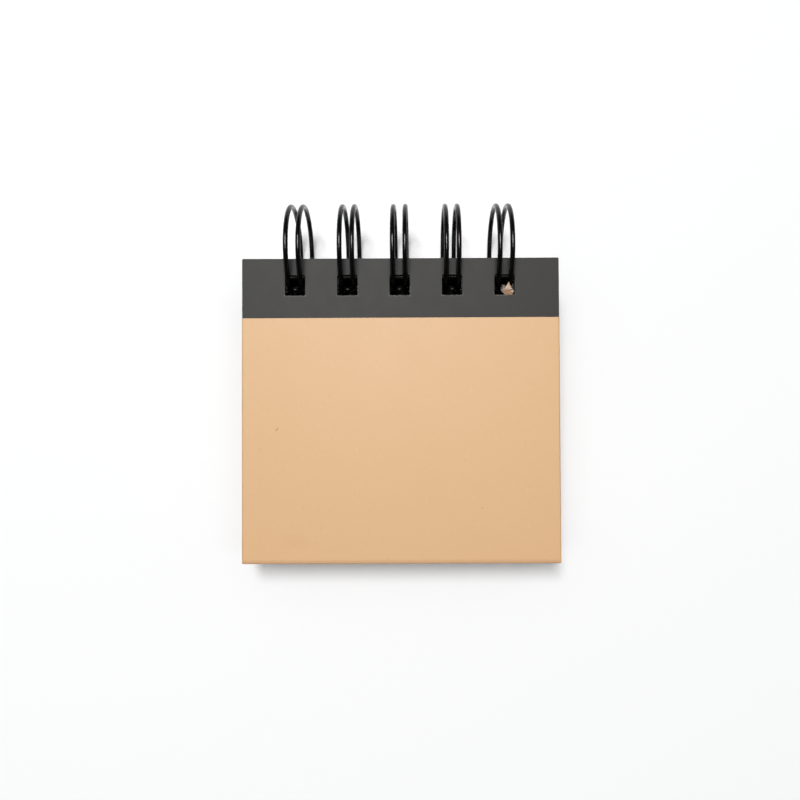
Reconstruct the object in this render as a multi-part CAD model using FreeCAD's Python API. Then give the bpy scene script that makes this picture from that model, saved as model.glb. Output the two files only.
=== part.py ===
import FreeCAD, Part
import math
import os

# Wire-bound sticky note pad, lying closed on a surface with its rings at the back.
# Millimetres, +Z up, X along the spine, +Y towards the spine. The origin is on the surface,
# under the middle of the pad's bounding box.
#
# The pad is built level first, round the rings' common axis, which is also the hinge axis of
# both covers. The front cover is then let down on to the wire and the sheets, and the whole pad
# is tipped to the slope at which it rests on its rings and on the back cover's front edge.

# Cover boards
cover_width = 77.0
cover_length = 73.9
board_thickness = 2.0
board_edge_radius = 0.25       # rounding where the covering paper folds over edges and corners

# Dark strip that wraps the spine end of each cover
strip_length = 14.5
strip_thickness = 0.15
strip_side_relief = 0.05       # how far each side of the strip stays inside the board's side

# Punched holes, alike in the boards, the strips and the sheets
hole_count = 5
hole_pitch = 12.7
hole_margin = 4.05             # from the spine edge to the near side of the holes
hole_length = 5.0
hole_side_clearance = 0.39     # beside the pair of wire legs
hole_corner_radius = 0.35
hole_row_offset = -0.15        # of the row's middle from the cover's middle

# Twin-loop wire
wire_diameter = 1.2
leg_spacing = 2.97             # between the two legs of one loop, centre to centre
ring_radius = 11.45            # to the middle of the wire
ring_seat_offset = 0.27        # the wire crosses the boards this far in front of the holes' middle
ring_axis_depth = 7.15         # of the rings' axis below the top of the front cover
base_bend_radius = 1.0         # where a leg turns into the straight base between two loops
base_lead = 0.06               # short straight between that bend and the ring
base_stub = 0.9                # free length of the base at the wire's two cut ends
tip_gap = 1.0                  # from a loop's closed tip to the line of the base
loop_leans = (0.9, 1.1, 1.4, 1.0, 0.7)           # degrees, each loop's own lean to the left
loop_offsets = (0.03, 0.11, 0.06, 0.13, 0.045)   # of each loop from the middle of its hole

# Sheets
page_thickness = 8.6
page_side_margin = 1.0         # by which the covers stand past the sheets at each side
page_front_margin = 1.2        # and at the front

# Torn paper tongue, left by the punch in the last hole of the front cover
tongue_thickness = 0.32
tongue_rise = 34.0             # degrees above the cover
tongue_depth = 0.42            # of its root's upper side below the top of the board
tongue_root = 0.5              # hidden in the board
tongue_outline = (             # from the hole's middle and from the hole's front side
    (-0.15, 0.0), (-0.1, 0.55), (-0.5, 1.2), (0.1, 1.85), (0.35, 2.55), (0.88, 3.4),
    (1.15, 2.8), (1.55, 2.0), (2.0, 1.45), (2.3, 1.0), (2.1, 0.3), (1.95, 0.0),
)

# Clearances
wire_page_clearance = 0.25     # between the rings and the front side of the sheets' holes
seam_clearance = 0.06          # between the wire's base and what lies above and below it
rest_clearance = 0.05          # between the closed front cover and the sheets

X_AXIS = FreeCAD.Vector(1, 0, 0)
Y_AXIS = FreeCAD.Vector(0, 1, 0)
ORIGIN = FreeCAD.Vector(0, 0, 0)

wire_radius = wire_diameter / 2
half_spacing = leg_spacing / 2
hole_width = leg_spacing + wire_diameter + 2 * hole_side_clearance
hole_middle = hole_margin + hole_length / 2
cover_top = ring_axis_depth
cover_underside = cover_top - board_thickness
board_middle = (cover_top + cover_underside) / 2

# Distances in front of the rings' axis, along -Y
spine_edge = math.sqrt(ring_radius ** 2 - board_middle ** 2) - hole_middle - ring_seat_offset
page_setback = ring_radius + wire_radius + wire_page_clearance - spine_edge - hole_margin - hole_length
page_spine_edge = spine_edge + page_setback
page_front_edge = spine_edge + cover_length - page_front_margin
page_width = cover_width - 2 * page_side_margin

# The loops' closed tips and the base, as angles round the rings' axis from +Y towards +Z,
# in the frame of the front cover
lean_drop = half_spacing * math.sin(math.radians(max(loop_leans)))
bend_reach = base_bend_radius + base_lead
base_reach = math.hypot(ring_radius, bend_reach)
base_height = cover_underside - seam_clearance - wire_radius - lean_drop
base_angle = 180 - math.degrees(math.asin(base_height / base_reach))
tip_angle = base_angle - math.degrees(tip_gap / ring_radius)


def page_top(tilt):
    """Height of the sheets under the wire's base, with the front cover let down by tilt degrees."""
    base_low = base_reach * math.sin(math.radians(base_angle + tilt))
    return base_low - lean_drop - wire_radius - seam_clearance


def closed_cover_tilt():
    """Slope in degrees of the closed front cover, held by the wire's base and the sheets' front."""
    tilt = 0.0
    for _ in range(30):
        drop = cover_underside / math.cos(math.radians(tilt)) - page_top(tilt) - rest_clearance
        tilt = math.degrees(math.atan(drop / page_front_edge))
    return tilt


cover_tilt = closed_cover_tilt()
page_upper = page_top(cover_tilt)
page_lower = page_upper - page_thickness
back_top = page_lower
back_bottom = back_top - board_thickness


def hole_positions():
    """X of the middle of each hole."""
    first = hole_row_offset - hole_pitch * (hole_count - 1) / 2
    return [first + hole_pitch * index for index in range(hole_count)]


def rounded_plate(width, near, far, low, high, radius):
    """Plate from y = -far to y = -near with all its edges and corners rounded."""
    plate = Part.makeBox(width, far - near, high - low, FreeCAD.Vector(-width / 2, -far, low))
    return plate.makeFillet(radius, plate.Edges)


def hole_prisms(near, low, high):
    """The row of square holes as solids, their near side at y = -near."""
    prisms = []
    for x in hole_positions():
        corner = FreeCAD.Vector(x - hole_width / 2, -near - hole_length, low)
        prism = Part.makeBox(hole_width, hole_length, high - low, corner)
        upright = [edge for edge in prism.Edges if edge.BoundBox.ZLength > (high - low) / 2]
        prisms.append(prism.makeFillet(hole_corner_radius, upright))
    return prisms


def cover_pieces(low):
    """Board and spine strip of one cover whose lower side is at z = low."""
    high = low + board_thickness
    far = spine_edge + cover_length
    strip_far = spine_edge + strip_length
    blank = rounded_plate(cover_width, spine_edge, far, low, high, board_edge_radius)
    strip_width = cover_width - 2 * strip_side_relief
    sleeve = rounded_plate(strip_width, spine_edge, far, low, high, board_edge_radius)
    core = rounded_plate(strip_width - 2 * strip_thickness, spine_edge + strip_thickness, far,
                         low + strip_thickness, high - strip_thickness, board_edge_radius - strip_thickness)
    spine_side = Part.makeBox(2 * cover_width, strip_length * 2, 2 * board_thickness,
                              FreeCAD.Vector(-cover_width, -strip_far, low - board_thickness / 2))
    holes = hole_prisms(spine_edge + hole_margin, low - board_thickness, high + board_thickness)
    panel = blank.cut(spine_side)
    tongue_in_strip = core.common(spine_side)
    board = panel.fuse(tongue_in_strip).removeSplitter().cut(holes)
    strip = sleeve.common(spine_side).cut(core).cut(holes)
    return board.Solids[0], strip.Solids[0]


def torn_tongue(top):
    """Torn tongue that rises from the front side of the last hole, with its root in the board."""
    root = -tongue_root
    outline = [(tongue_outline[-1][0], root), (tongue_outline[0][0], root)] + list(tongue_outline)
    corners = [FreeCAD.Vector(x, y, 0) for x, y in outline]
    face = Part.Face(Part.makePolygon(corners + corners[:1]))
    tongue = face.extrude(FreeCAD.Vector(0, 0, -tongue_thickness))
    tongue.rotate(ORIGIN, X_AXIS, tongue_rise)
    far_side = -(spine_edge + hole_margin + hole_length)
    tongue.translate(FreeCAD.Vector(hole_positions()[-1], far_side, top - tongue_depth))
    return tongue


def page_block():
    """All the sheets as one solid, punched like the covers and pushed forward by the rings."""
    length = page_front_edge - page_spine_edge
    corner = FreeCAD.Vector(-page_width / 2, -page_front_edge, page_lower)
    block = Part.makeBox(page_width, length, page_thickness, corner)
    holes = hole_prisms(page_spine_edge + hole_margin, page_lower - 1, page_upper + 1)
    return block.cut(holes).Solids[0]


def on_ring(x, angle, radius=ring_radius):
    return FreeCAD.Vector(x, radius * math.cos(angle), radius * math.sin(angle))


def along_ring(angle):
    return FreeCAD.Vector(0, -math.sin(angle), math.cos(angle))


def loop_path(index, x):
    """One double loop: bends at its base, two rings and the closed tip, as edges and its two feet."""
    start = math.radians(base_angle + cover_tilt) + math.atan(bend_reach / ring_radius)
    end = math.radians(tip_angle + cover_tilt + 360) - math.atan(half_spacing / ring_radius)
    place = FreeCAD.Placement(FreeCAD.Vector(x + loop_offsets[index % len(loop_offsets)], 0, 0),
                              FreeCAD.Rotation(Y_AXIS, -loop_leans[index % len(loop_leans)]))

    def ring(side):
        points = [on_ring(side * half_spacing, start + (end - start) * share) for share in (0, 0.5, 1)]
        return [place.multVec(point) for point in points]

    left, right = ring(-1), ring(1)
    tip = place.multVec(on_ring(0, end) + along_ring(end) * half_spacing)
    down = place.Rotation.multVec(along_ring(start))
    arcs = {
        "left": Part.Arc(*left).toShape(),
        "tip": Part.Arc(left[2], tip, right[2]).toShape(),
        "right": Part.Arc(right[2], right[1], right[0]).toShape(),
    }
    return arcs, left[0], right[0], down


def base_bend(foot, down, along):
    """Bend from the base's direction, given towards the bend, into the leg that ends in foot."""
    corner = foot - down * bend_reach
    half_turn = along.getAngle(down) / 2
    trim = base_bend_radius * math.tan(half_turn)
    inward = (down - along).normalize()
    middle = corner + inward * (base_bend_radius / math.cos(half_turn) - base_bend_radius)
    from_base = corner - along * trim
    to_leg = corner + down * trim
    return from_base, Part.Arc(from_base, middle, to_leg).toShape(), to_leg


def wire_path():
    """The whole binding as one wire from cut end to cut end."""
    loops = [loop_path(index, x) for index, x in enumerate(hole_positions())]
    edges = []
    last_base = None
    for index, (arcs, left_foot, right_foot, down) in enumerate(loops):
        along = X_AXIS
        if index:
            along = (left_foot - loops[index - 1][2]).normalize()
        base_end, bend, leg_start = base_bend(left_foot, down, along)
        if last_base is None:
            last_base = base_end - along * base_stub
        edges += [Part.LineSegment(last_base, base_end).toShape(), bend]
        edges += [Part.LineSegment(leg_start, left_foot).toShape(), arcs["left"], arcs["tip"], arcs["right"]]
        along = X_AXIS
        if index < len(loops) - 1:
            along = (loops[index + 1][1] - right_foot).normalize()
        last_base, bend, leg_start = base_bend(right_foot, down, along * -1)
        edges += [Part.LineSegment(right_foot, leg_start).toShape(), bend]
    edges.append(Part.LineSegment(last_base, last_base + X_AXIS * base_stub).toShape())
    return Part.Wire(edges)


def wire_binding():
    """Round wire swept along its path."""
    path = wire_path()
    first = path.OrderedEdges[0]
    section = Part.Wire(Part.makeCircle(wire_radius, first.valueAt(first.FirstParameter), X_AXIS))
    tube = path.makePipeShell([section], True, True)
    expected = math.pi * wire_radius ** 2 * path.Length
    print("wire length", round(path.Length, 2), "volume", round(tube.Volume, 3), "expected", round(expected, 3))
    return tube


def resting_slope():
    """Slope in degrees at which the rings and the back cover's front edge meet the surface."""
    ring_foot = ring_radius + wire_radius + lean_drop
    reach = spine_edge + cover_length - board_edge_radius
    drop = -back_bottom - board_edge_radius
    span = math.hypot(reach, drop)
    rise = math.asin((ring_foot - board_edge_radius) / span) - math.atan(drop / reach)
    return math.degrees(rise), ring_foot


def build():
    """All pieces in the pad's resting place, by node name."""
    front_board, front_strip = cover_pieces(cover_underside)
    front_board = front_board.fuse(torn_tongue(cover_top)).removeSplitter().Solids[0]
    back_board, back_strip = cover_pieces(back_bottom)
    for piece in (front_board, front_strip):
        piece.rotate(ORIGIN, X_AXIS, cover_tilt)
    pieces = {
        "front_cover_board": front_board,
        "front_spine_strip": front_strip,
        "page_block": page_block(),
        "back_cover_board": back_board,
        "back_spine_strip": back_strip,
        "wire_binding": wire_binding(),
    }
    slope, ring_foot = resting_slope()
    for piece in pieces.values():
        piece.rotate(ORIGIN, X_AXIS, slope)
    low_y = min(front_board.BoundBox.YMin, back_board.BoundBox.YMin)
    high_y = ring_radius + wire_radius
    shift = FreeCAD.Vector(0, -(low_y + high_y) / 2, ring_foot)
    for piece in pieces.values():
        piece.translate(shift)
    print("hinge axis y", round(shift.y, 4), "z", round(shift.z, 4))
    print("cover tilt", round(cover_tilt, 4), "resting slope", round(slope, 4))
    print("spine edge", round(spine_edge, 3), "page setback", round(page_setback, 3))
    print("back cover lower side", round(back_bottom, 4))
    return pieces


os.makedirs("parts", exist_ok=True)
for node, solid in build().items():
    print(node, solid.ShapeType, "solids", len(solid.Solids), "valid", solid.isValid(), "volume", round(solid.Volume, 2))
    solid.exportStep("parts/" + node + ".step")
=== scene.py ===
import math
import random

import bmesh
import bpy
from mathutils import Matrix, Vector


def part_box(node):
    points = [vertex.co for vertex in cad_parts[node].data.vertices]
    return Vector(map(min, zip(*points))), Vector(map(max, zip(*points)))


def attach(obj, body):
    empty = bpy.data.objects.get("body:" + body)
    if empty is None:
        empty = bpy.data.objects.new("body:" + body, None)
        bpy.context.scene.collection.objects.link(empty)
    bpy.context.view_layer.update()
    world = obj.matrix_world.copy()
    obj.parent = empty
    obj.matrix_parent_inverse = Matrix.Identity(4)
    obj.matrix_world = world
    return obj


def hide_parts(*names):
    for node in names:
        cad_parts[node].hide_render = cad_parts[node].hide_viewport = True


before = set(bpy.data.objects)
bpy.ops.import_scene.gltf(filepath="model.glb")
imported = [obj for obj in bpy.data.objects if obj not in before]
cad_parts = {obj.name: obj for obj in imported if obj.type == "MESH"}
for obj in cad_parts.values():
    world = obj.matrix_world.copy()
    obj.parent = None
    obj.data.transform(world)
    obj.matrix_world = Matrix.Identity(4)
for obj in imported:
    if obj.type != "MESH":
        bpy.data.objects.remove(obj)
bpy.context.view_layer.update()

SHEET_COUNT = 86
SEED = 7

MM = 0.001
TO_MM = 1000.0

# Torn tongue in the last hole: its slope, and how far its root lies below the top of the board
TONGUE_RISE = math.radians(34.0)
TONGUE_DEPTH = 0.00042


# ---------------------------------------------------------------- sizes and places, from the frame

def plate_place(board, strip, side):
    """Matrix from a cover's own axes to the frame's.

    X runs across, Y is 0 at the spine edge and negative towards the front, and Z stands up, from 0
    at the outer face, which is the upper one for side 1 and the lower one for side -1."""
    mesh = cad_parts[board].data
    face = max((p for p in mesh.polygons if p.normal.z * side > 0.9), key=lambda p: p.area)
    upwards = (face.normal * side).normalized()
    across = Vector((1, 0, 0))
    to_spine = upwards.cross(across).normalized()
    spine = max(v.co.dot(to_spine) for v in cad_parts[strip].data.vertices)
    level = mesh.vertices[face.vertices[0]].co.dot(upwards)
    axes = Matrix((across, to_spine, upwards)).transposed().to_4x4()
    return Matrix.Translation(to_spine * spine + upwards * level) @ axes


FRONT = plate_place("front_cover_board", "front_spine_strip", 1)
BACK = plate_place("back_cover_board", "back_spine_strip", -1)


def spots_on(node, place):
    """Corners of a piece's mesh in a cover's own axes."""
    to_cover = place.inverted()
    return [to_cover @ v.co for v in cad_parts[node].data.vertices]


def limits(spots):
    """Lowest and highest X, Y and Z of some places."""
    return [[limit(spot[axis] for spot in spots) for axis in range(3)] for limit in (min, max)]


def whole(length):
    """Length in whole micrometres, without the small errors of a mesh."""
    return round(length, 6)


PAGE_LOW, PAGE_HIGH = limits(spots_on("page_block", BACK))

COVER_LOW, COVER_HIGH = limits(spots_on("front_cover_board", FRONT))
COVER_WIDTH = whole(COVER_HIGH[0] - COVER_LOW[0])
COVER_LENGTH = whole(-COVER_LOW[1])
STRIP_SPOTS = spots_on("front_spine_strip", FRONT)
STRIP_LENGTH = whole(-limits(STRIP_SPOTS)[0][1])

# The punched holes are found in the strip: corners of its mesh that are this far inside its outline lie
# on their rims, and a step across that is longer than the widest hole leads to the next one
HOLE_INSIDE = 0.001
HOLE_WIDEST = 0.006


def hole_limits():
    """Left and right side of each punched hole in the strip, and the row's front and spine side."""
    inner = [spot for spot in STRIP_SPOTS if abs(spot.x) < COVER_WIDTH / 2 - HOLE_INSIDE
             and HOLE_INSIDE < -spot.y < STRIP_LENGTH - HOLE_INSIDE]
    across = sorted(spot.x for spot in inner)
    steps = [(before, after) for before, after in zip(across, across[1:]) if after - before > HOLE_WIDEST]
    lefts = [across[0]] + [after for before, after in steps]
    rights = [before for before, after in steps] + [across[-1]]
    low, high = limits(inner)
    return lefts, rights, low[1], high[1]


# HOLE_ROW_OFFSET is the X of the row's middle, and HOLE_MARGIN the row's distance from the spine edge
HOLE_LEFTS, HOLE_RIGHTS, ROW_FRONT, ROW_BACK = hole_limits()
HOLE_COUNT = len(HOLE_LEFTS)
HOLE_PITCH = whole(HOLE_LEFTS[1] - HOLE_LEFTS[0])
HOLE_WIDTH = whole(HOLE_RIGHTS[0] - HOLE_LEFTS[0])
HOLE_ROW_OFFSET = whole((HOLE_LEFTS[0] + HOLE_RIGHTS[-1]) / 2)
HOLE_MARGIN = whole(-ROW_BACK)
HOLE_LENGTH = whole(ROW_BACK - ROW_FRONT)


def hole_middles():
    """X of the middle of each punched hole."""
    return [HOLE_ROW_OFFSET + HOLE_PITCH * (index - (HOLE_COUNT - 1) / 2) for index in range(HOLE_COUNT)]


# ---------------------------------------------------------------- shader building

def add_node(tree, kind, **settings):
    node = tree.nodes.new(kind)
    for name, value in settings.items():
        setattr(node, name, value)
    return node


def feed(tree, node, **inputs):
    """Sets or links the named inputs of a node; an underscore in a name stands for a space."""
    for name, value in inputs.items():
        socket = node.inputs[name.replace("_", " ")]
        if isinstance(value, bpy.types.NodeSocket):
            tree.links.new(value, socket)
        else:
            socket.default_value = value
    return node


def maths(tree, operation, first, second=0.0, clamp=False):
    """Result of one sum on two sockets or numbers; a third number, where a sum takes one, is 0."""
    node = add_node(tree, "ShaderNodeMath", operation=operation, use_clamp=clamp)
    for socket, value in zip(node.inputs, (first, second, 0.0)):
        if isinstance(value, bpy.types.NodeSocket):
            tree.links.new(value, socket)
        else:
            socket.default_value = value
    return node.outputs[0]


def spread(tree, value, low, high, to_low=0.0, to_high=1.0):
    """Smooth step of a value from one range to another, level beyond both ends."""
    node = add_node(tree, "ShaderNodeMapRange", interpolation_type="SMOOTHSTEP")
    feed(tree, node, Value=value, From_Min=low, From_Max=high, To_Min=to_low, To_Max=to_high)
    return node.outputs["Result"]


def blend_colour(tree, factor, first, second):
    """Second colour over the first one, as far as the factor says."""
    node = add_node(tree, "ShaderNodeMix", data_type="RGBA")
    sockets = {0: factor, 6: first, 7: second}
    for index, value in sockets.items():
        if isinstance(value, bpy.types.NodeSocket):
            tree.links.new(value, node.inputs[index])
        else:
            node.inputs[index].default_value = value
    return node.outputs[2]


def noise(tree, vector, scale, detail=2.0, roughness=0.5, distortion=0.0):
    node = add_node(tree, "ShaderNodeTexNoise")
    feed(tree, node, Vector=vector, Scale=scale, Detail=detail, Roughness=roughness, Distortion=distortion)
    return node.outputs["Fac"]


def new_group(name, inputs, outputs):
    """Shader node group with named sockets; returns the tree, its input node and its output node."""
    tree = bpy.data.node_groups.new(name, "ShaderNodeTree")
    for socket_name, kind, value in inputs:
        socket = tree.interface.new_socket(name=socket_name, in_out="INPUT", socket_type=kind)
        if value is not None:
            socket.default_value = value
    for socket_name, kind in outputs:
        tree.interface.new_socket(name=socket_name, in_out="OUTPUT", socket_type=kind)
    return tree, tree.nodes.new("NodeGroupInput"), tree.nodes.new("NodeGroupOutput")


def use_group(tree, group, **inputs):
    node = add_node(tree, "ShaderNodeGroup", node_tree=group)
    return feed(tree, node, **inputs).outputs


def plate_axes_group():
    """Position on a cover in its own axes, in millimetres, from the place and slope of the cover."""
    tree, source, result = new_group(
        "plate axes",
        [("Origin", "NodeSocketVector", None), ("Turn", "NodeSocketVector", None)],
        [("Position", "NodeSocketVector"), ("Across", "NodeSocketFloat"),
         ("From Spine", "NodeSocketFloat"), ("Out", "NodeSocketFloat")],
    )
    coordinates = add_node(tree, "ShaderNodeTexCoord")
    mapping = add_node(tree, "ShaderNodeMapping", vector_type="TEXTURE")
    tree.links.new(coordinates.outputs["Object"], mapping.inputs["Vector"])
    tree.links.new(source.outputs["Origin"], mapping.inputs["Location"])
    tree.links.new(source.outputs["Turn"], mapping.inputs["Rotation"])
    scaled = add_node(tree, "ShaderNodeVectorMath", operation="SCALE")
    feed(tree, scaled, Vector=mapping.outputs["Vector"], Scale=TO_MM)
    parts = add_node(tree, "ShaderNodeSeparateXYZ")
    feed(tree, parts, Vector=scaled.outputs["Vector"])
    tree.links.new(scaled.outputs["Vector"], result.inputs["Position"])
    tree.links.new(parts.outputs["X"], result.inputs["Across"])
    tree.links.new(maths(tree, "MULTIPLY", parts.outputs["Y"], -1.0), result.inputs["From Spine"])
    tree.links.new(parts.outputs["Z"], result.inputs["Out"])
    return tree


def paper_grain_group():
    """Soft mottle, short crossed fibres and a fine height, for any paper surface.

    Position is in millimetres."""
    tree, source, result = new_group(
        "paper grain",
        [("Position", "NodeSocketVector", None), ("Mottle Size", "NodeSocketFloat", 9.0),
         ("Fibre Size", "NodeSocketFloat", 0.35)],
        [("Mottle", "NodeSocketFloat"), ("Fibre", "NodeSocketFloat"), ("Height", "NodeSocketFloat")],
    )
    position = source.outputs["Position"]
    mottle_scale = maths(tree, "DIVIDE", 1.0, source.outputs["Mottle Size"])
    fibre_scale = maths(tree, "DIVIDE", 1.0, source.outputs["Fibre Size"])
    tree.links.new(noise(tree, position, mottle_scale, 3.0, 0.6), result.inputs["Mottle"])
    strands = []
    for turn in (0.5, 1.6, 2.7):
        mapping = add_node(tree, "ShaderNodeMapping")
        feed(tree, mapping, Vector=position, Rotation=(0.0, 0.0, turn), Scale=(0.16, 1.0, 1.0))
        strands.append(noise(tree, mapping.outputs["Vector"], fibre_scale, 2.0, 0.55, 0.6))
    crossed = maths(tree, "MAXIMUM", maths(tree, "MAXIMUM", strands[0], strands[1]), strands[2])
    fibre = spread(tree, crossed, 0.5, 0.72)
    tree.links.new(fibre, result.inputs["Fibre"])
    fine = noise(tree, position, maths(tree, "MULTIPLY", fibre_scale, 2.2), 3.0, 0.6)
    tree.links.new(maths(tree, "ADD", maths(tree, "MULTIPLY", fibre, 0.6), fine), result.inputs["Height"])
    return tree


# How much wider the edge band shows along a cover's front than along its sides; on the tan covers it is
# mostly painted shade there, of the rounded front edge turning from the light
FRONT_FOLD_AND_SHADE_SHARE = 2.5


def rim_group():
    """1 along the outline of a cover and 0 inside it, unevenly, and in a narrower line along the sides.

    On the tan covers it carries the fold over the edges and a painted shade along the front edge.
    """
    tree, source, result = new_group(
        "edge band",
        [("Position", "NodeSocketVector", None), ("Across", "NodeSocketFloat", 0.0),
         ("From Spine", "NodeSocketFloat", 0.0), ("Reach", "NodeSocketFloat", 0.8)],
        [("Rim", "NodeSocketFloat")],
    )
    inside = source.outputs
    side = maths(tree, "SUBTRACT", COVER_WIDTH * TO_MM / 2, maths(tree, "ABSOLUTE", inside["Across"]))
    side = maths(tree, "MULTIPLY", side, FRONT_FOLD_AND_SHADE_SHARE)
    front = maths(tree, "SUBTRACT", COVER_LENGTH * TO_MM, inside["From Spine"])
    nearest = maths(tree, "MINIMUM", maths(tree, "MINIMUM", side, front), inside["From Spine"])
    uneven = maths(tree, "MULTIPLY", noise(tree, inside["Position"], 0.8, 3.0, 0.6), 0.5)
    distance = maths(tree, "ADD", nearest, maths(tree, "SUBTRACT", uneven, 0.25))
    tree.links.new(spread(tree, distance, 0.0, inside["Reach"], 1.0, 0.0), result.inputs["Rim"])
    return tree


def hole_group():
    """Masks of the row of punched holes, in millimetres.

    Inside is 1 in each hole, taken in by Shrink. The second mask is a soft patch between each hole and the
    spine edge, for painted shade round the wire's legs."""
    tree, source, result = new_group(
        "punched holes",
        [("Across", "NodeSocketFloat", 0.0), ("From Spine", "NodeSocketFloat", 0.0),
         ("Shrink", "NodeSocketFloat", 0.0)],
        [("Inside", "NodeSocketFloat"), ("Leg Shade", "NodeSocketFloat")],
    )
    pitch = HOLE_PITCH * TO_MM
    ahead = (HOLE_MARGIN + HOLE_LENGTH / 2) * TO_MM
    row_middle = HOLE_ROW_OFFSET * TO_MM
    along = maths(tree, "SUBTRACT", source.outputs["Across"], row_middle - pitch / 2)
    in_pitch = maths(tree, "WRAP", along, pitch)
    off_middle = maths(tree, "ABSOLUTE", maths(tree, "SUBTRACT", in_pitch, pitch / 2))
    off_row = maths(tree, "ABSOLUTE", maths(tree, "SUBTRACT", source.outputs["From Spine"], ahead))
    half_width = maths(tree, "SUBTRACT", HOLE_WIDTH * TO_MM / 2, source.outputs["Shrink"])
    half_length = maths(tree, "SUBTRACT", HOLE_LENGTH * TO_MM / 2, source.outputs["Shrink"])
    within = maths(tree, "LESS_THAN", off_middle, half_width)
    beside = maths(tree, "LESS_THAN", off_row, half_length)
    from_middle = maths(tree, "ABSOLUTE", maths(tree, "SUBTRACT", source.outputs["Across"], row_middle))
    in_row = maths(tree, "LESS_THAN", from_middle, pitch * HOLE_COUNT / 2)
    inside = maths(tree, "MULTIPLY", maths(tree, "MULTIPLY", within, beside), in_row)
    tree.links.new(inside, result.inputs["Inside"])
    towards_hole = maths(tree, "MULTIPLY", spread(tree, source.outputs["From Spine"], 0.0, 4.0, 0.32, 0.58),
                         spread(tree, source.outputs["From Spine"], 4.5, 9.3, 1.0, 0.0))
    painted_shade = maths(tree, "MULTIPLY", spread(tree, off_middle, 1.5, 3.3, 1.0, 0.0), in_row)
    tree.links.new(maths(tree, "MULTIPLY", painted_shade, towards_hole), result.inputs["Leg Shade"])
    return tree


GROUPS = {
    "axes": plate_axes_group(),
    "grain": paper_grain_group(),
    "rim": rim_group(),
    "holes": hole_group(),
}


def new_material(name):
    material = bpy.data.materials.new(name)
    material.use_nodes = True
    shader = material.node_tree.nodes["Principled BSDF"]
    return material, material.node_tree, shader


def object_position(tree):
    """The piece's own coordinates, in millimetres."""
    coordinates = add_node(tree, "ShaderNodeTexCoord")
    scaled = add_node(tree, "ShaderNodeVectorMath", operation="SCALE")
    feed(tree, scaled, Vector=coordinates.outputs["Object"], Scale=TO_MM)
    return scaled.outputs["Vector"]


def bump(tree, shader, height, strength, distance):
    """Fine relief on a shader, as deep as the distance in metres."""
    node = add_node(tree, "ShaderNodeBump")
    feed(tree, node, Height=height, Strength=strength, Distance=distance)
    tree.links.new(node.outputs["Normal"], shader.inputs["Normal"])


def plate_outputs(tree, place):
    """Position in a cover's own axes, for a piece on that cover."""
    return use_group(tree, GROUPS["axes"], Origin=place.to_translation(), Turn=place.to_euler())


# ---------------------------------------------------------------- materials

TAN = (0.696, 0.425, 0.209, 1.0)
TAN_PALE = (0.698, 0.428, 0.212, 1.0)
TAN_DEEP = (0.674, 0.402, 0.191, 1.0)
TAN_FOLD_AND_SHADE = (0.520, 0.275, 0.128, 1.0)
TAN_FLECK = (0.800, 0.545, 0.320, 1.0)
RAW_BOARD = (0.450, 0.275, 0.160, 1.0)
RAW_BOARD_DARK = (0.260, 0.155, 0.090, 1.0)
PAINTED_HOLE_SHADE = (0.012, 0.010, 0.008, 1.0)
STRIP_GREY = (0.0324, 0.0307, 0.0282, 1.0)
STRIP_GREY_PALE = (0.0362, 0.0345, 0.0320, 1.0)
STRIP_FIBRE_AND_SHEEN = (0.065, 0.063, 0.060, 1.0)
STRIP_FOLD = (0.065, 0.062, 0.06, 1.0)
STRIP_WORN_AND_LIT = (0.105, 0.102, 0.098, 1.0)
PAINTED_LEG_SHADE = (0.004, 0.004, 0.004, 1.0)
WIRE_COATING = (0.0025, 0.0025, 0.0027, 1.0)
WIRE_HOLE_SHADE = (0.001, 0.001, 0.001, 1.0)
BARE_STEEL = (0.45, 0.45, 0.46, 1.0)
NOTE_PAPER = (0.84, 0.81, 0.75, 1.0)
NOTE_PAPER_SHADE = (0.72, 0.69, 0.63, 1.0)
NOTE_PAPER_FIBRE = (0.66, 0.63, 0.57, 1.0)
TORN_BOARD = (0.66, 0.41, 0.24, 1.0)
TORN_BOARD_DARK = (0.36, 0.195, 0.100, 1.0)
TORN_SKIN = (0.88, 0.71, 0.58, 1.0)
TORN_SKIN_DARK = (0.62, 0.42, 0.29, 1.0)
GREY_FIBRE = (0.20, 0.19, 0.175, 1.0)
GREY_FIBRE_DARK = (0.07, 0.065, 0.06, 1.0)
PALE_FIBRE = (0.62, 0.56, 0.50, 1.0)
PALE_FIBRE_DARK = (0.30, 0.25, 0.21, 1.0)
PAINTED_LEDGE_SHADE = (0.016, 0.015, 0.014, 1.0)

# Small marks on the front cover: place across and from the spine edge, length and width in millimetres,
# turn, strength and colour
MARKS = (
    ((-30.0, 41.5), (1.15, 0.38), -0.9, 0.75, (0.340, 0.160, 0.070, 1.0)),
    ((19.5, 60.6), (0.5, 0.3), 0.3, 0.5, (0.330, 0.190, 0.100, 1.0)),
    ((20.2, 60.9), (0.4, 0.22), 0.2, 0.5, (0.800, 0.560, 0.360, 1.0)),
    ((-25.5, 68.6), (9.0, 4.2), 0.2, 0.09, (0.580, 0.270, 0.110, 1.0)),
    ((8.4, 22.3), (0.35, 0.2), 1.9, 0.3, (0.480, 0.270, 0.130, 1.0)),
    ((-12.7, 33.0), (0.3, 0.22), 0.0, 0.25, (0.480, 0.270, 0.130, 1.0)),
)


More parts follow.
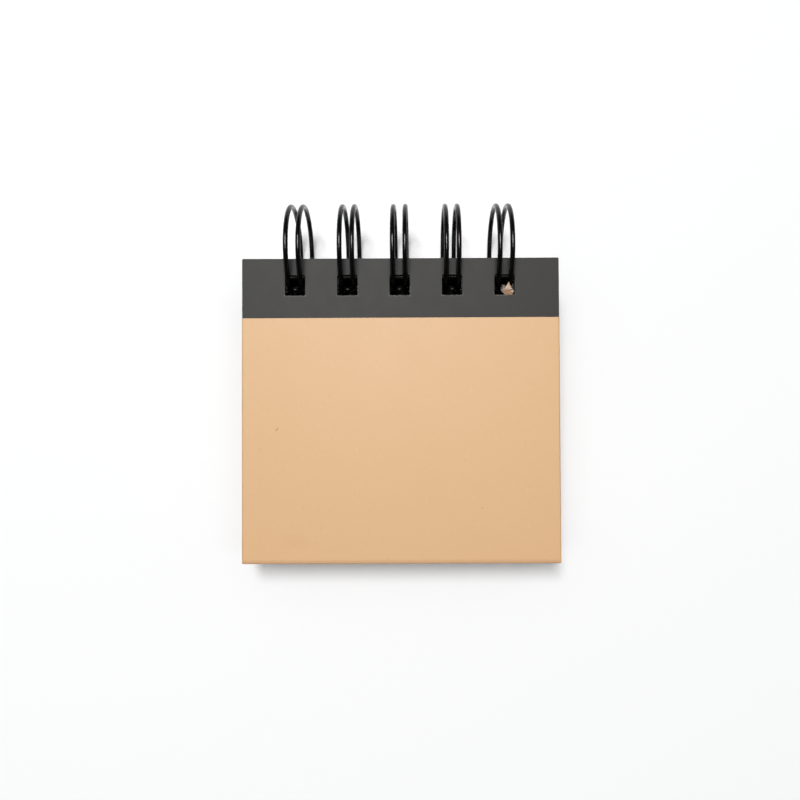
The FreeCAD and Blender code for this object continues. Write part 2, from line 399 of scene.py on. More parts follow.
def mark_mask(tree, plate, place, size, turn):
    """1 in a small soft oval on a cover and 0 outside it, in millimetres."""
    spot = add_node(tree, "ShaderNodeCombineXYZ")
    feed(tree, spot, X=plate["Across"], Y=plate["From Spine"])
    mapping = add_node(tree, "ShaderNodeMapping", vector_type="TEXTURE")
    feed(tree, mapping, Vector=spot.outputs["Vector"], Location=(*place, 0.0), Rotation=(0.0, 0.0, turn),
         Scale=(size[0] / 2, size[1] / 2, 1.0))
    reach = add_node(tree, "ShaderNodeVectorMath", operation="LENGTH")
    feed(tree, reach, Vector=mapping.outputs["Vector"])
    return spread(tree, reach.outputs["Value"], 0.4, 1.2, 1.0, 0.0)


def cover_board_material(name, place, marks=()):
    """Tan paper over brown board: mottled and faintly fibrous, darker where it folds over the edges, most
    along the front as painted shade of the rounded edge; the bare board shows under the strip, and the walls
    of the punched holes are painted near black as shade."""
    material, tree, shader = new_material(name)
    plate = plate_outputs(tree, place)
    grain = use_group(tree, GROUPS["grain"], Position=plate["Position"], Mottle_Size=11.0, Fibre_Size=0.3)
    rim = use_group(tree, GROUPS["rim"], Position=plate["Position"], Across=plate["Across"],
                    From_Spine=plate["From Spine"], Reach=1.3)
    broad = noise(tree, plate["Position"], 0.035, 2.0, 0.5)
    colour = blend_colour(tree, spread(tree, grain["Mottle"], 0.3, 0.7), TAN, TAN_PALE)
    colour = blend_colour(tree, spread(tree, broad, 0.45, 0.75, 0.0, 0.25), colour, TAN_DEEP)
    colour = blend_colour(tree, maths(tree, "MULTIPLY", grain["Fibre"], 0.12), colour, TAN_DEEP)
    drawn = add_node(tree, "ShaderNodeMapping")
    feed(tree, drawn, Vector=plate["Position"], Scale=(2.1, 0.7, 1.0))
    flecks = noise(tree, drawn.outputs["Vector"], 1.0, 2.0, 0.5)
    colour = blend_colour(tree, spread(tree, flecks, 0.64, 0.71, 0.0, 0.18), colour, RAW_BOARD)
    colour = blend_colour(tree, spread(tree, flecks, 0.36, 0.29, 0.0, 0.25), colour, TAN_FLECK)
    on_top = spread(tree, plate["Out"], -0.6, -0.3)
    for spot, size, turn, strength, tone in marks:
        mask = maths(tree, "MULTIPLY", mark_mask(tree, plate, spot, size, turn), on_top)
        colour = blend_colour(tree, maths(tree, "MULTIPLY", mask, strength), colour, tone)
    # painted shade: the edge band darkens the cover most along the front, where the rounded edge turns from
    # the light
    colour = blend_colour(tree, maths(tree, "MULTIPLY", rim["Rim"], 0.8), colour, TAN_FOLD_AND_SHADE)
    raw_noise = noise(tree, plate["Position"], 3.2, 4.0, 0.7)
    raw = blend_colour(tree, spread(tree, raw_noise, 0.35, 0.65), RAW_BOARD_DARK, RAW_BOARD)
    holes = use_group(tree, GROUPS["holes"], Across=plate["Across"], From_Spine=plate["From Spine"],
                      Shrink=0.04)
    # painted shade: the walls of the punched holes are near black
    raw = blend_colour(tree, holes["Inside"], PAINTED_HOLE_SHADE, raw)
    strip_end = STRIP_LENGTH * TO_MM
    under_strip = spread(tree, plate["From Spine"], strip_end + 0.02, strip_end - 0.02)
    colour = blend_colour(tree, under_strip, colour, raw)
    roughness = spread(tree, grain["Mottle"], 0.3, 0.7, 0.51, 0.54)
    feed(tree, shader, Base_Color=colour, Roughness=roughness, Specular_IOR_Level=0.45)
    bump(tree, shader, grain["Height"], 0.1, 0.00003)
    return material


def spine_strip_material(name, place):
    """Dark grey coated paper with a faint pebble.

    It is painted paler towards its left end as sheen from the light on the left, painted darker round the
    wire's legs between each hole and the spine edge as shade, and pale along the holes' fronts, partly from
    worn fibres and partly as a painted highlight where those edges face the light."""
    material, tree, shader = new_material(name)
    plate = plate_outputs(tree, place)
    grain = use_group(tree, GROUPS["grain"], Position=plate["Position"], Mottle_Size=4.0, Fibre_Size=0.5)
    rim = use_group(tree, GROUPS["rim"], Position=plate["Position"], Across=plate["Across"],
                    From_Spine=plate["From Spine"], Reach=0.55)
    colour = blend_colour(tree, spread(tree, grain["Mottle"], 0.3, 0.7), STRIP_GREY, STRIP_GREY_PALE)
    # painted sheen: the strip is paler towards its left end, as the light from the left would shine on it
    painted_sheen = spread(tree, plate["Across"], -38.0, 5.0, 0.2, 0.0)
    colour = blend_colour(tree, painted_sheen, colour, STRIP_FIBRE_AND_SHEEN)
    colour = blend_colour(tree, maths(tree, "MULTIPLY", grain["Fibre"], 0.04), colour, STRIP_FIBRE_AND_SHEEN)
    colour = blend_colour(tree, maths(tree, "MULTIPLY", rim["Rim"], 0.2), colour, STRIP_FOLD)
    holes = use_group(tree, GROUPS["holes"], Across=plate["Across"], From_Spine=plate["From Spine"],
                      Shrink=-0.27)
    # partly wear, partly painted highlight: a pale line along each hole's front side, which faces the light
    hole_front = (HOLE_MARGIN + HOLE_LENGTH) * TO_MM
    front_side = spread(tree, plate["From Spine"], hole_front - 0.9, hole_front, 0.1, 1.0)
    patchy = spread(tree, noise(tree, plate["Position"], 2.0, 3.0, 0.6), 0.40, 0.58)
    worn_and_lit = maths(tree, "MULTIPLY", maths(tree, "MULTIPLY", holes["Inside"], front_side), patchy)
    # painted shade: the strip darkens round the wire's legs between each hole and the spine edge
    colour = blend_colour(tree, holes["Leg Shade"], colour, PAINTED_LEG_SHADE)
    colour = blend_colour(tree, maths(tree, "MULTIPLY", worn_and_lit, 0.8), colour, STRIP_WORN_AND_LIT)
    roughness = spread(tree, grain["Mottle"], 0.3, 0.7, 0.49, 0.53)
    feed(tree, shader, Base_Color=colour, Roughness=roughness, Specular_IOR_Level=0.16)
    bump(tree, shader, grain["Height"], 0.15, 0.00004)
    return material


def wire_material():
    """Black satin coating on steel wire, bare at the two cut ends, and painted with shade where it runs into
    the
    holes: nearly black there, and without any reflection deep inside them.

    Apart from the cut ends, its places are in millimetres in the front cover's own axes."""
    material, tree, shader = new_material("black coated wire")
    position = object_position(tree)
    ripple = noise(tree, position, 1.6, 3.0, 0.55)
    across = add_node(tree, "ShaderNodeSeparateXYZ")
    feed(tree, across, Vector=position)
    normal = add_node(tree, "ShaderNodeNewGeometry")
    facing = add_node(tree, "ShaderNodeSeparateXYZ")
    feed(tree, facing, Vector=normal.outputs["True Normal"])
    lowest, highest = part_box("wire_binding")
    half = (highest[0] - lowest[0]) * TO_MM / 2
    middle = (highest[0] + lowest[0]) * TO_MM / 2
    beyond = maths(tree, "ABSOLUTE", maths(tree, "SUBTRACT", across.outputs["X"], middle))
    at_end = maths(tree, "GREATER_THAN", beyond, half - 0.05)
    sideways = maths(tree, "GREATER_THAN", maths(tree, "ABSOLUTE", facing.outputs["X"]), 0.97)
    cut = maths(tree, "MULTIPLY", at_end, sideways)
    colour = blend_colour(tree, cut, WIRE_COATING, BARE_STEEL)
    plate = plate_outputs(tree, FRONT)
    in_hole = maths(tree, "MULTIPLY", spread(tree, plate["Out"], 1.8, 3.8, 1.0, 0.0),
                    spread(tree, plate["From Spine"], 1.2, 3.6))
    between_legs = use_group(tree, GROUPS["holes"], Across=plate["Across"],
                             From_Spine=maths(tree, "SUBTRACT", plate["From Spine"], 1.2), Shrink=1.6)
    before_front = maths(tree, "LESS_THAN", plate["From Spine"], 8.25)
    on_base = maths(tree, "MULTIPLY", between_legs["Inside"], before_front)
    off_base = maths(tree, "SUBTRACT", 1.0, maths(tree, "MULTIPLY", on_base, 0.6))
    # painted shade: the wire turns nearly black near and inside the holes, less so on the base between the
    # legs
    hole_shade = maths(tree, "MULTIPLY", in_hole, off_base)
    colour = blend_colour(tree, hole_shade, colour, WIRE_HOLE_SHADE)
    roughness = spread(tree, ripple, 0.3, 0.7, 0.14, 0.19)
    roughness = maths(tree, "ADD", roughness, maths(tree, "MULTIPLY", cut, 0.1))
    roughness = maths(tree, "ADD", roughness, maths(tree, "MULTIPLY", in_hole, 0.12))
    roughness = maths(tree, "ADD", roughness, maths(tree, "MULTIPLY", on_base, 0.05))
    metal = maths(tree, "MAXIMUM", cut, maths(tree, "MULTIPLY", hole_shade, 0.85))
    # painted shade: deep inside the holes the wire reflects nothing
    deep_shade = maths(tree, "MULTIPLY", spread(tree, plate["Out"], -6.0, -3.0, 1.0, 0.0), in_hole)
    above = maths(tree, "SUBTRACT", 1.0, deep_shade)
    metal = maths(tree, "MULTIPLY", metal, above)
    gloss = maths(tree, "MULTIPLY", above, 0.26)
    feed(tree, shader, Base_Color=colour, Metallic=metal, Roughness=roughness, Specular_IOR_Level=gloss)
    return material


def sheet_material():
    """Off-white uncoated note paper, with the cut edges of the sheets a little uneven in tone, and painted
    shade, near black, on the walls of the punched holes and on a thin band of the top sheet on their spine
    side.
    """
    material, tree, shader = new_material("off-white note paper")
    plate = plate_outputs(tree, BACK)
    grain = use_group(tree, GROUPS["grain"], Position=plate["Position"], Mottle_Size=8.0, Fibre_Size=0.25)
    stretched = add_node(tree, "ShaderNodeMapping")
    feed(tree, stretched, Vector=plate["Position"], Scale=(0.02, 0.02, 10.0))
    layers = noise(tree, stretched.outputs["Vector"], 1.0, 2.0, 0.7)
    flat = add_node(tree, "ShaderNodeNewGeometry")
    upright = add_node(tree, "ShaderNodeVectorMath", operation="DOT_PRODUCT")
    feed(tree, upright, Vector=flat.outputs["True Normal"])
    upright.inputs[1].default_value = (BACK.to_3x3() @ Vector((0, 0, 1))).normalized()
    sideways = maths(tree, "LESS_THAN", maths(tree, "ABSOLUTE", upright.outputs["Value"]), 0.5)
    streaks = maths(tree, "MULTIPLY", spread(tree, layers, 0.3, 0.7, 1.0, 0.0), sideways)
    colour = blend_colour(tree, streaks, NOTE_PAPER, NOTE_PAPER_SHADE)
    colour = blend_colour(tree, maths(tree, "MULTIPLY", grain["Fibre"], 0.1), colour, NOTE_PAPER_FIBRE)
    from_edge = maths(tree, "ADD", plate["From Spine"], PAGE_HIGH[1] * TO_MM)
    holes = use_group(tree, GROUPS["holes"], Across=plate["Across"], From_Spine=from_edge, Shrink=-0.15)
    # painted shade: the walls of the sheets' punched holes are near black
    colour = blend_colour(tree, maths(tree, "MULTIPLY", holes["Inside"], sideways), colour, PAINTED_HOLE_SHADE)
    # painted shade: a near-black band round each hole, reaching a little towards the spine, where the cover
    # shades the top sheet
    towards_spine = maths(tree, "ADD", from_edge, 0.4)
    ledge_shade = use_group(tree, GROUPS["holes"], Across=plate["Across"], From_Spine=towards_spine, Shrink=-0.06)
    painted_shade = spread(tree, noise(tree, plate["Position"], 1.5, 3.0, 0.6), 0.3, 0.6, 0.94, 1.0)
    colour = blend_colour(tree, maths(tree, "MULTIPLY", ledge_shade["Inside"], painted_shade), colour, PAINTED_LEDGE_SHADE)
    feed(tree, shader, Base_Color=colour, Roughness=0.82, Specular_IOR_Level=0.25)
    bump(tree, shader, grain["Height"], 0.3, 0.00002)
    return material


def torn_paper_material(name, dark, pale, size):
    """Torn, fuzzy paper between two tones."""
    material, tree, shader = new_material(name)
    position = object_position(tree)
    grain = use_group(tree, GROUPS["grain"], Position=position, Mottle_Size=size, Fibre_Size=0.16)
    colour = blend_colour(tree, spread(tree, grain["Mottle"], 0.35, 0.65), dark, pale)
    colour = blend_colour(tree, maths(tree, "MULTIPLY", grain["Fibre"], 0.35), colour, pale)
    feed(tree, shader, Base_Color=colour, Roughness=0.9, Specular_IOR_Level=0.2)
    bump(tree, shader, grain["Height"], 0.8, 0.00005)
    return material


# ---------------------------------------------------------------- pieces

def dress(node, material):
    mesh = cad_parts[node].data
    mesh.materials.clear()
    mesh.materials.append(material)


def finish_piece(mesh_builder, name, material, body, smooth=False):
    """Turns a bmesh into a piece that rides on a body."""
    mesh = bpy.data.meshes.new(name)
    bmesh.ops.recalc_face_normals(mesh_builder, faces=mesh_builder.faces)
    mesh_builder.to_mesh(mesh)
    mesh_builder.free()
    for polygon in mesh.polygons:
        polygon.use_smooth = smooth
    mesh.materials.append(material)
    piece = bpy.data.objects.new(name, mesh)
    bpy.context.scene.collection.objects.link(piece)
    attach(piece, body)
    return piece


def add_sliver(builder, points, widths, thickness, up):
    """Closed flat ribbon through the points, as wide as the widths say, tapering to its ends."""
    rings = []
    for index, point in enumerate(points):
        ahead = points[min(index + 1, len(points) - 1)]
        behind = points[max(index - 1, 0)]
        along = (ahead - behind).normalized()
        across = along.cross(up)
        if across.length < 1e-6:
            across = along.orthogonal()
        across.normalize()
        normal = across.cross(along).normalized()
        half = across * widths[index] / 2
        rise = normal * thickness / 2
        corners = (point - half - rise, point + half - rise, point + half + rise, point - half + rise)
        rings.append([builder.verts.new(corner) for corner in corners])
    for first, second in zip(rings, rings[1:]):
        for side in range(4):
            builder.faces.new((first[side], first[(side + 1) % 4], second[(side + 1) % 4], second[side]))
    builder.faces.new(rings[0][::-1])
    builder.faces.new(rings[-1])


def rim_point(x, side, share, depth=0.0):
    """Point on the outline of a hole in cover axes, and the direction into the hole.

    share runs from 0 to 1 along the side, and depth sets the point back into the paper."""
    near = -HOLE_MARGIN
    far = -HOLE_MARGIN - HOLE_LENGTH
    left = x - HOLE_WIDTH / 2
    right = x + HOLE_WIDTH / 2
    if side == "front":
        return Vector((left + (right - left) * share, far - depth, 0)), Vector((0, 1, 0))
    if side == "spine":
        return Vector((left + (right - left) * share, near + depth, 0)), Vector((0, -1, 0))
    if side == "left":
        return Vector((left - depth, far + (near - far) * share, 0)), Vector((1, 0, 0))
    return Vector((right + depth, far + (near - far) * share, 0)), Vector((-1, 0, 0))


def add_nib(builder, place, up, x, side, share, width, reach, thickness, rng):
    """Small torn nib of strip paper that stands into a hole from its rim, rooted in the board behind it."""
    root = 0.00012
    sink = 0.00002
    base, inwards = rim_point(x, side, share, root)
    along = Vector((inwards.y, -inwards.x, 0))
    lift = Vector((0, 0, up))
    outline = []
    steps = 5
    for step in range(steps + 1):
        part = step / steps
        out = reach * math.sin(math.pi * part) ** 0.8 * rng.uniform(0.6, 1.15)
        outline.append(base + along * width * (part - 0.5) + inwards * (out + root))
    ends = [base + along * width / 2, base - along * width / 2]
    ring = outline + ends
    droop = rng.uniform(-0.5, 0.6) * thickness
    top = [builder.verts.new(place @ (p - lift * sink + lift * droop * (p - base).dot(inwards) / reach))
           for p in ring]
    low = [builder.verts.new(place @ (p - lift * (sink + thickness))) for p in ring]
    builder.faces.new(top)
    builder.faces.new(low[::-1])
    for index in range(len(ring)):
        after = (index + 1) % len(ring)
        builder.faces.new((top[index], low[index], low[after], top[after]))


def ragged_rims(place, up, name, body, counts, material, seed):
    """Nibs of dark paper round the rims of one cover's holes, as many on a front side as counts says."""
    rng = random.Random(seed)
    builder = bmesh.new()
    reaches = {"front": 0.00008, "left": 0.0001, "right": 0.0001, "spine": 0.00008}
    for x, count in zip(hole_middles(), counts):
        for side, reach in reaches.items():
            for _ in range(count if side == "front" else max(1, count // 2)):
                add_nib(builder, place, up, x, side, rng.uniform(0.14, 0.86), rng.uniform(0.0003, 0.0008),
                        reach * rng.uniform(0.4, 1.0), 0.0001, rng)
    finish_piece(builder, name, material, body)


def add_fibre(builder, place, start, heading, length, width, rise, rng):
    """One loose paper fibre that curves away from its root, in cover axes."""
    bend = rng.uniform(-1.0, 1.0)
    side = Vector((-heading.y, heading.x, 0))
    points = []
    for step in range(5):
        part = step / 4
        swing = side * bend * length * 0.35 * part * part
        lift = Vector((0, 0, rise * math.sin(part * 2.2)))
        points.append(place @ (start + heading * length * part + swing + lift))
    widths = [width * share for share in (1.0, 0.95, 0.8, 0.6, 0.25)]
    up = (place.to_3x3() @ Vector((0, 0, 1))).normalized()
    add_sliver(builder, points, widths, width * 0.5, up)


# Fibres at the rims of the holes: hole, side, how many, and from where to where along the side
RIM_FIBRES = (
    (0, "front", 14, (0.45, 0.95)), (0, "front", 7, (0.05, 0.3)),
    (1, "front", 26, (0.04, 0.96)), (1, "right", 8, (0.18, 0.5)),
    (2, "front", 9, (0.2, 0.9)), (2, "right", 9, (0.15, 0.4)),
    (3, "front", 8, (0.25, 0.8)), (3, "left", 2, (0.8, 0.9)),
    (4, "front", 6, (0.05, 0.9)), (4, "right", 5, (0.1, 0.6)),
)


def rim_fibres(material):
    """Pale fibres torn up by the punch, mostly along the front sides of the first three holes."""
    rng = random.Random(SEED + 3)
    builder = bmesh.new()
    holes = hole_middles()
    for hole, side, count, (low, high) in RIM_FIBRES:
        for _ in range(count):
            start, inwards = rim_point(holes[hole], side, rng.uniform(low, high), 0.00005)
            along = Vector((inwards.y, -inwards.x, 0))
            heading = (along * rng.choice((-1, 1)) + inwards * rng.uniform(-0.25, 0.35)).normalized()
            add_fibre(builder, FRONT, start, heading, rng.uniform(0.0002, 0.00055),
                      rng.uniform(0.00004, 0.00009), rng.uniform(0.00002, 0.00012), rng)
    finish_piece(builder, "rim_fibres", material, "front_cover")


def add_slab(builder, place, across, along, low, high, first_hole):
    """Slab between two levels with a row of square holes, from the grid lines of its outline and holes."""
    columns = [across[0]]
    for x in hole_middles():
        columns += [x - HOLE_WIDTH / 2, x + HOLE_WIDTH / 2]
    columns.append(across[1])
    rows = [along[0], first_hole - HOLE_LENGTH, first_hole, along[1]]
    hole_columns = range(1, len(columns) - 1, 2)
    corners = {}
    for column, x in enumerate(columns):
        for row, y in enumerate(rows):
            corners[column, row] = [builder.verts.new(place @ Vector((x, y, z))) for z in (low, high)]
    solid = {(column, row) for column in range(len(columns) - 1) for row in range(3)}
    solid -= {(column, 1) for column in hole_columns}
    for column, row in solid:
        loop = [corners[column + dx, row + dy] for dx, dy in ((0, 0), (1, 0), (1, 1), (0, 1))]
        builder.faces.new([pair[1] for pair in loop])
        builder.faces.new([pair[0] for pair in reversed(loop)])
        neighbours = ((column, row - 1), (column + 1, row), (column, row + 1), (column - 1, row))
        for side, neighbour in enumerate(neighbours):
            if neighbour not in solid:
                first, second = loop[side], loop[(side + 1) % 4]
                builder.faces.new((first[0], second[0], second[1], first[1]))


def sheet_stack(material):
    """The pad's loose sheets, each a little out of line with the next."""
    rng = random.Random(SEED + 5)
    sheet = (PAGE_HIGH[2] - PAGE_LOW[2]) / SHEET_COUNT
    builder = bmesh.new()
    drift = 0.0
    for index in range(SHEET_COUNT):
        drift = 0.8 * drift + rng.uniform(-0.00003, 0.00003)
        inset = [rng.uniform(0.0, 0.00008) for _ in range(4)]
        across = (PAGE_LOW[0] + inset[0] + max(drift, 0.0), PAGE_HIGH[0] - inset[1] + min(drift, 0.0))
        along = (PAGE_LOW[1] + inset[2], PAGE_HIGH[1] - inset[3])
        base = PAGE_LOW[2] + sheet * index
        add_slab(builder, BACK, across, along, base, base + sheet * 0.97, PAGE_HIGH[1] - HOLE_MARGIN)
    piece = finish_piece(builder, "sheet_stack", material, "pad")
    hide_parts("page_block")


def tongue_place():
    """Axes of the torn tongue: X across, Y up along it from the hole's front side, Z out of it."""
    root = Vector((hole_middles()[-1], -HOLE_MARGIN - HOLE_LENGTH, -TONGUE_DEPTH))
    return FRONT @ Matrix.Translation(root) @ Matrix.Rotation(TONGUE_RISE, 4, "X")


def add_ply(builder, place, outline, thickness, height, curl, rng):
    """Thin torn ply with a ragged outline, domed by curl, in the tongue's axes, in millimetres."""
    ragged = []
    for index, (x, y) in enumerate(outline):
        after = outline[(index + 1) % len(outline)]
        for share in (0.0, 0.33, 0.66):
            fray = 0.045 if share else 0.0
            px = x + (after[0] - x) * share + rng.uniform(-fray, fray)
            py = y + (after[1] - y) * share + rng.uniform(-fray, fray)
            ragged.append((px, py))
    middle = (sum(p[0] for p in ragged) / len(ragged), sum(p[1] for p in ragged) / len(ragged))
    farthest = max(math.hypot(p[0] - middle[0], p[1] - middle[1]) for p in ragged)
    rings = []
    for share in (1.0, 0.72, 0.4):
        ring = []
        for x, y in ragged:
            px = middle[0] + (x - middle[0]) * share
            py = middle[1] + (y - middle[1]) * share
            reach = math.hypot(px - middle[0], py - middle[1]) / farthest
            level = height + curl * (1 - reach * reach) + rng.uniform(-0.012, 0.012)
            ring.append(Vector((px, py, level)) * MM)
        rings.append(ring)
    top = [[builder.verts.new(place @ p) for p in ring] for ring in rings]
    peak = builder.verts.new(place @ (Vector((middle[0], middle[1], height + curl)) * MM))
    low = [builder.verts.new(place @ (p - Vector((0, 0, thickness * MM)))) for p in rings[0]]
    count = len(ragged)
    for index in range(count):
        after = (index + 1) % count
        for outer, inner in zip(top, top[1:]):
            builder.faces.new((outer[index], outer[after], inner[after], inner[index]))
        builder.faces.new((top[-1][index], top[-1][after], peak))
        builder.faces.new((top[0][after], top[0][index], low[index], low[after]))
    builder.faces.new(low[::-1])


# Outlines of the tongue's plies in its own axes, in millimetres
LOWER_PLY = ((-0.05, 0.1), (-0.3, 0.6), (-0.42, 1.3), (-0.15, 1.9), (0.5, 2.0), (1.2, 1.7), (1.65, 1.25),
             (2.0, 0.85), (1.9, 0.15))
LOWER_SPLIT = ((0.3, 0.1), (0.2, 0.5), (0.7, 0.8), (1.4, 0.75), (1.95, 0.35), (1.8, 0.05))
UPPER_PLY = ((-0.25, 1.6), (0.1, 2.05), (0.38, 2.5), (0.8, 3.18), (1.1, 2.65), (1.5, 2.0), (1.85, 1.55),
             (1.3, 1.4), (0.9, 1.2), (0.3, 1.5))
UPPER_SPLIT = ((1.5, 0.95), (1.8, 1.3), (2.08, 1.05), (2.0, 0.7), (1.7, 0.65))


def torn_tongue_plies():
    """Split plies of board and covering paper lying on the torn tongue of the last hole."""
    rng = random.Random(SEED + 11)
    place = tongue_place()
    board = torn_paper_material("torn brown board", TORN_BOARD_DARK, TORN_BOARD, 0.55)
    skin = torn_paper_material("torn pale skin", TORN_SKIN_DARK, TORN_SKIN, 0.6)
    builder = bmesh.new()
    add_ply(builder, place, LOWER_PLY, thickness=0.06, height=0.05, curl=0.12, rng=rng)
    add_ply(builder, place, LOWER_SPLIT, thickness=0.05, height=0.12, curl=0.1, rng=rng)
    finish_piece(builder, "tongue_lower_plies", board, "front_cover", smooth=True)
    builder = bmesh.new()
    add_ply(builder, place, UPPER_PLY, thickness=0.06, height=0.06, curl=0.2, rng=rng)
    add_ply(builder, place, UPPER_SPLIT, thickness=0.05, height=0.1, curl=0.12, rng=rng)
    finish_piece(builder, "tongue_upper_ply", skin, "front_cover", smooth=True)


def tongue_fibres(material):
    """Pale fuzz that stands out of the left side of the tongue."""
    rng = random.Random(SEED + 17)
    place = tongue_place()
    builder = bmesh.new()
    for _ in range(34):
        start = Vector((rng.uniform(-0.6, 0.1), rng.uniform(1.0, 2.7), rng.uniform(-0.1, 0.1))) * MM
        heading = Vector((rng.uniform(-1.0, -0.3), rng.uniform(-0.3, 0.9), 0)).normalized()
        add_fibre(builder, place, start, heading, rng.uniform(0.00025, 0.0007), rng.uniform(0.00004, 0.0001),
                  rng.uniform(0.0, 0.0001), rng)
    broad_fibres = ((0.8, 2.05, 1.5), (0.7, 2.45, 1.3), (0.65, 2.9, 1.1), (0.7, 1.8, 1.8), (0.5, 3.2, 0.9))
    for length, turn, low in broad_fibres:
        start = Vector((-0.3, low, 0.05)) * MM
        heading = Vector((math.cos(turn), math.sin(turn), 0))
        add_fibre(builder, place, start, heading, length * MM, 0.00016, 0.00008, rng)
    for _ in range(14):
        start = Vector((rng.uniform(0.3, 2.1), rng.uniform(0.2, 2.4), 0.16)) * MM
        heading = Vector((rng.uniform(-1, 1), rng.uniform(-1, 1), 0)).normalized()
        add_fibre(builder, place, start, heading, rng.uniform(0.0002, 0.0005), 0.00005, 0.00008, rng)
    finish_piece(builder, "tongue_fibres", material, "front_cover")


# ---------------------------------------------------------------- dressing the pad

dress("front_cover_board", cover_board_material("tan front cover", FRONT, MARKS))
dress("back_cover_board", cover_board_material("tan back cover", BACK))
dress("front_spine_strip", spine_strip_material("dark front strip", FRONT))
dress("back_spine_strip", spine_strip_material("dark back strip", BACK))
dress("wire_binding", wire_material())
note_paper = sheet_material()
dress("page_block", note_paper)
sheet_stack(note_paper)

dark_nibs = spine_strip_material("dark torn rims", FRONT)
grey_fibre = torn_paper_material("grey torn fibre", GREY_FIBRE_DARK, GREY_FIBRE, 0.4)
pale_fibre = torn_paper_material("pale torn fibre", PALE_FIBRE_DARK, PALE_FIBRE, 0.5)
ragged_rims(FRONT, up=1, name="front_hole_rims", body="front_cover", counts=(7, 9, 6, 2, 3),
            material=dark_nibs, seed=SEED)
ragged_rims(BACK, up=-1, name="back_hole_rims", body="back_cover", counts=(4, 5, 4, 4, 5),
            material=dark_nibs, seed=SEED + 1)
rim_fibres(grey_fibre)
torn_tongue_plies()
tongue_fibres(pale_fibre)


# ---------------------------------------------------------------- floor, light and camera

FLOOR_HALF_SIZE = 3.0
FLOOR = (0.796, 0.80, 0.806, 1.0)
FLOOR_PAINTED_SHADE = (0.07, 0.07, 0.07, 1.0)
WHITE = (1.0, 1.0, 1.0, 1.0)


def floor_material():
    """Pale floor: painted shade, dark where the pad lies on it and a touch darker close beside it, painted
    light a touch lighter behind the spine, and white far off.

    Places are in millimetres from the middle of the pad."""
    material, tree, shader = new_material("pale floor")
    parts = add_node(tree, "ShaderNodeSeparateXYZ")
    feed(tree, parts, Vector=object_position(tree))
    off_middle = maths(tree, "ABSOLUTE", parts.outputs["X"])
    beside = spread(tree, off_middle, 34.0, 37.0, 1.0, 0.0)
    along = maths(tree, "MULTIPLY", spread(tree, parts.outputs["Y"], 27.0, 32.0, 1.0, 0.0),
                  spread(tree, parts.outputs["Y"], 12.0, 18.0))
    painted_shade_under_pad = maths(tree, "MULTIPLY", beside, along)
    # painted shade: the floor is near black under the pad
    colour = blend_colour(tree, painted_shade_under_pad, FLOOR, FLOOR_PAINTED_SHADE)
    path = add_node(tree, "ShaderNodeLightPath")
    seen = maths(tree, "ADD", path.outputs["Is Camera Ray"], path.outputs["Is Glossy Ray"], clamp=True)
    seen = maths(tree, "ADD", seen, path.outputs["Is Transmission Ray"], clamp=True)
    open_floor = maths(tree, "SUBTRACT", 1.0, painted_shade_under_pad)
    # painted light: the floor glows a little more behind the spine, lifting the rings' shadows
    wide = spread(tree, parts.outputs["Y"], 44.0, 58.0, 0.09, 0.0)
    close = spread(tree, parts.outputs["Y"], 36.5, 39.5, 0.06, 0.0)
    behind = maths(tree, "MULTIPLY", maths(tree, "ADD", wide, close),
                   spread(tree, parts.outputs["Y"], 29.0, 33.0))
    behind = maths(tree, "MULTIPLY", behind, spread(tree, off_middle, 30.0, 44.0, 1.0, 0.0))
    # painted shade: the floor glows a little less close beside the pad
    painted_shade_beside = maths(tree, "MULTIPLY", spread(tree, parts.outputs["Y"], 17.0, 30.0, 1.0, 0.0),
                       spread(tree, parts.outputs["Y"], -46.0, -39.0))
    painted_shade_beside = maths(tree, "MULTIPLY", painted_shade_beside, spread(tree, off_middle, 41.0, 50.0, 0.046, 0.0))
    lift = maths(tree, "SUBTRACT", maths(tree, "ADD", behind, 0.13), painted_shade_beside)
    lift = maths(tree, "MULTIPLY", maths(tree, "MULTIPLY", seen, open_floor), lift)
    feed(tree, shader, Base_Color=colour, Roughness=0.9, Specular_IOR_Level=0.0)
    feed(tree, shader, Emission_Color=WHITE, Emission_Strength=lift)
    reach = add_node(tree, "ShaderNodeVectorMath", operation="LENGTH")
    feed(tree, reach, Vector=object_position(tree))
    white = add_node(tree, "ShaderNodeEmission")
    feed(tree, white, Color=WHITE, Strength=1.0)
    fade = add_node(tree, "ShaderNodeMixShader")
    far_off = maths(tree, "MULTIPLY", spread(tree, reach.outputs["Value"], 150.0, 420.0), seen)
    tree.links.new(far_off, fade.inputs["Fac"])
    tree.links.new(shader.outputs["BSDF"], fade.inputs[1])
    tree.links.new(white.outputs["Emission"], fade.inputs[2])
    tree.links.new(fade.outputs["Shader"], tree.nodes["Material Output"].inputs["Surface"])
    return material


def floor():
    """Flat floor that keeps the pad's shadow."""
    builder = bmesh.new()
    bmesh.ops.create_grid(builder, x_segments=1, y_segments=1, size=FLOOR_HALF_SIZE)
    mesh = bpy.data.meshes.new("floor")
    builder.to_mesh(mesh)
    builder.free()
    mesh.materials.append(floor_material())
    piece = bpy.data.objects.new("floor", mesh)
    bpy.context.scene.collection.objects.link(piece)


# Distance of the lights in metres, and strength of the soft fill from overhead
LIGHT_DISTANCE = 1.2
FILL = 0.61


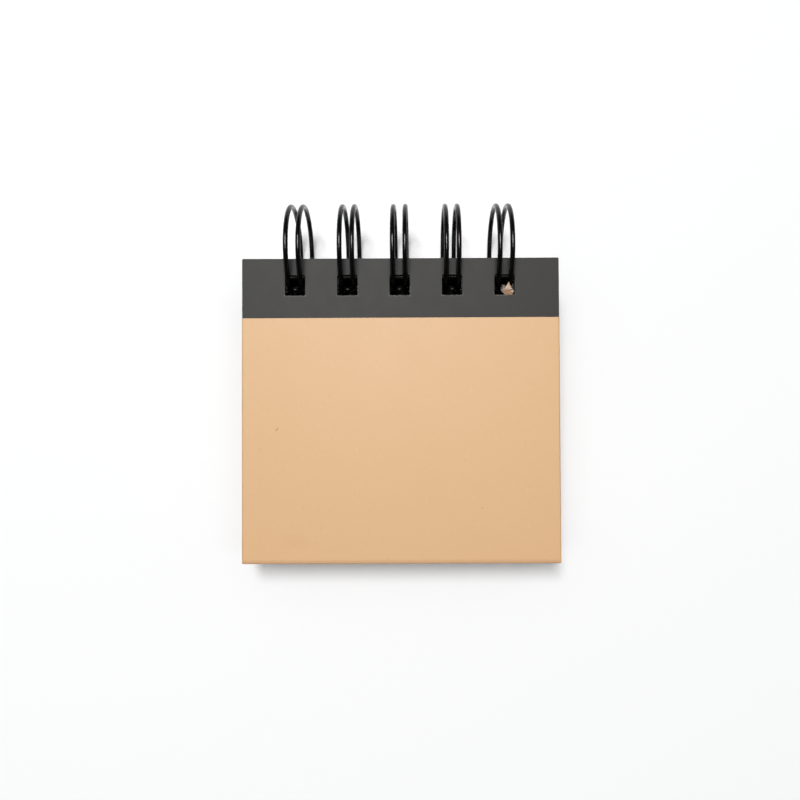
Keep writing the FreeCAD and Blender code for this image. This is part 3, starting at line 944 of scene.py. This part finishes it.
def softbox(name, back, left, spread_back, spread_side, radiance, target, diffuse=True):
    """Flat light, placed and sized by angles at the target, in degrees from straight above."""
    distance = LIGHT_DISTANCE
    heading = Vector((-math.tan(math.radians(left)), math.tan(math.radians(back)), 1.0)).normalized()
    data = bpy.data.lights.new(name, "AREA")
    data.shape = "RECTANGLE"
    data.size = 2 * distance * math.tan(math.radians(spread_side))
    data.size_y = 2 * distance * math.tan(math.radians(spread_back))
    data.energy = radiance * math.pi * data.size * data.size_y
    lamp = bpy.data.objects.new(name, data)
    bpy.context.scene.collection.objects.link(lamp)
    place = target + heading * distance
    lamp.location = place
    lamp.rotation_euler = (target - place).to_track_quat("-Z", "Y").to_euler()
    lamp.visible_diffuse = diffuse


def studio_world():
    """White surroundings for the camera, white low down for reflections, and a soft fill that is stronger
    from behind the spine."""
    world = bpy.data.worlds.new("studio")
    bpy.context.scene.world = world
    world.use_nodes = True
    tree = world.node_tree
    background = tree.nodes["Background"]
    path = add_node(tree, "ShaderNodeLightPath")
    coordinates = add_node(tree, "ShaderNodeTexCoord")
    parts = add_node(tree, "ShaderNodeSeparateXYZ")
    feed(tree, parts, Vector=coordinates.outputs["Generated"])
    overhead = spread(tree, parts.outputs["Z"], 0.03, 0.26, 0.9, 0.015)
    seen = maths(tree, "ADD", path.outputs["Is Glossy Ray"], path.outputs["Is Transmission Ray"], clamp=True)
    fill = maths(tree, "MULTIPLY", spread(tree, parts.outputs["Z"], 0.0, 0.9, 0.35 * FILL, FILL),
                 spread(tree, parts.outputs["Y"], -0.6, 0.2, 0.45, 1.0))
    glossy = maths(tree, "ADD", fill, maths(tree, "MULTIPLY", seen, maths(tree, "SUBTRACT", overhead, fill)))
    to_white = maths(tree, "SUBTRACT", 1.0, glossy)
    strength = maths(tree, "ADD", glossy, maths(tree, "MULTIPLY", path.outputs["Is Camera Ray"], to_white))
    feed(tree, background, Color=WHITE, Strength=strength)


def camera():
    """Camera nearly square above the front cover, set in the cover's own axes."""
    data = bpy.data.cameras.new("camera")
    data.lens = 30.585
    data.sensor_width = 36.0
    data.clip_start = 0.005
    thing = bpy.data.objects.new("camera", data)
    bpy.context.scene.collection.objects.link(thing)
    off_middle = Vector((0.00053, -0.00039, 0.1643))
    place = Vector((0, -COVER_LENGTH / 2, 0)) + off_middle
    pitch = Matrix.Rotation(-0.01755, 3, "X")
    yaw = Matrix.Rotation(-0.0044, 3, "Y")
    roll = Matrix.Rotation(0.0042, 3, "Z")
    to_camera = roll @ yaw @ pitch
    thing.matrix_world = FRONT @ Matrix.Translation(place) @ to_camera.transposed().to_4x4()
    bpy.context.scene.camera = thing


floor()
studio_world()
cover_middle = FRONT @ Vector((0, -COVER_LENGTH / 2, 0))
softbox("key", back=17.0, left=8.0, spread_back=10.5, spread_side=7.0, radiance=25.8, target=cover_middle)
softbox("glint_card", back=10.0, left=-3.0, spread_back=15.0, spread_side=3.0, radiance=36.0,
        target=cover_middle, diffuse=False)
camera()
bpy.context.scene.view_settings.view_transform = "Standard"
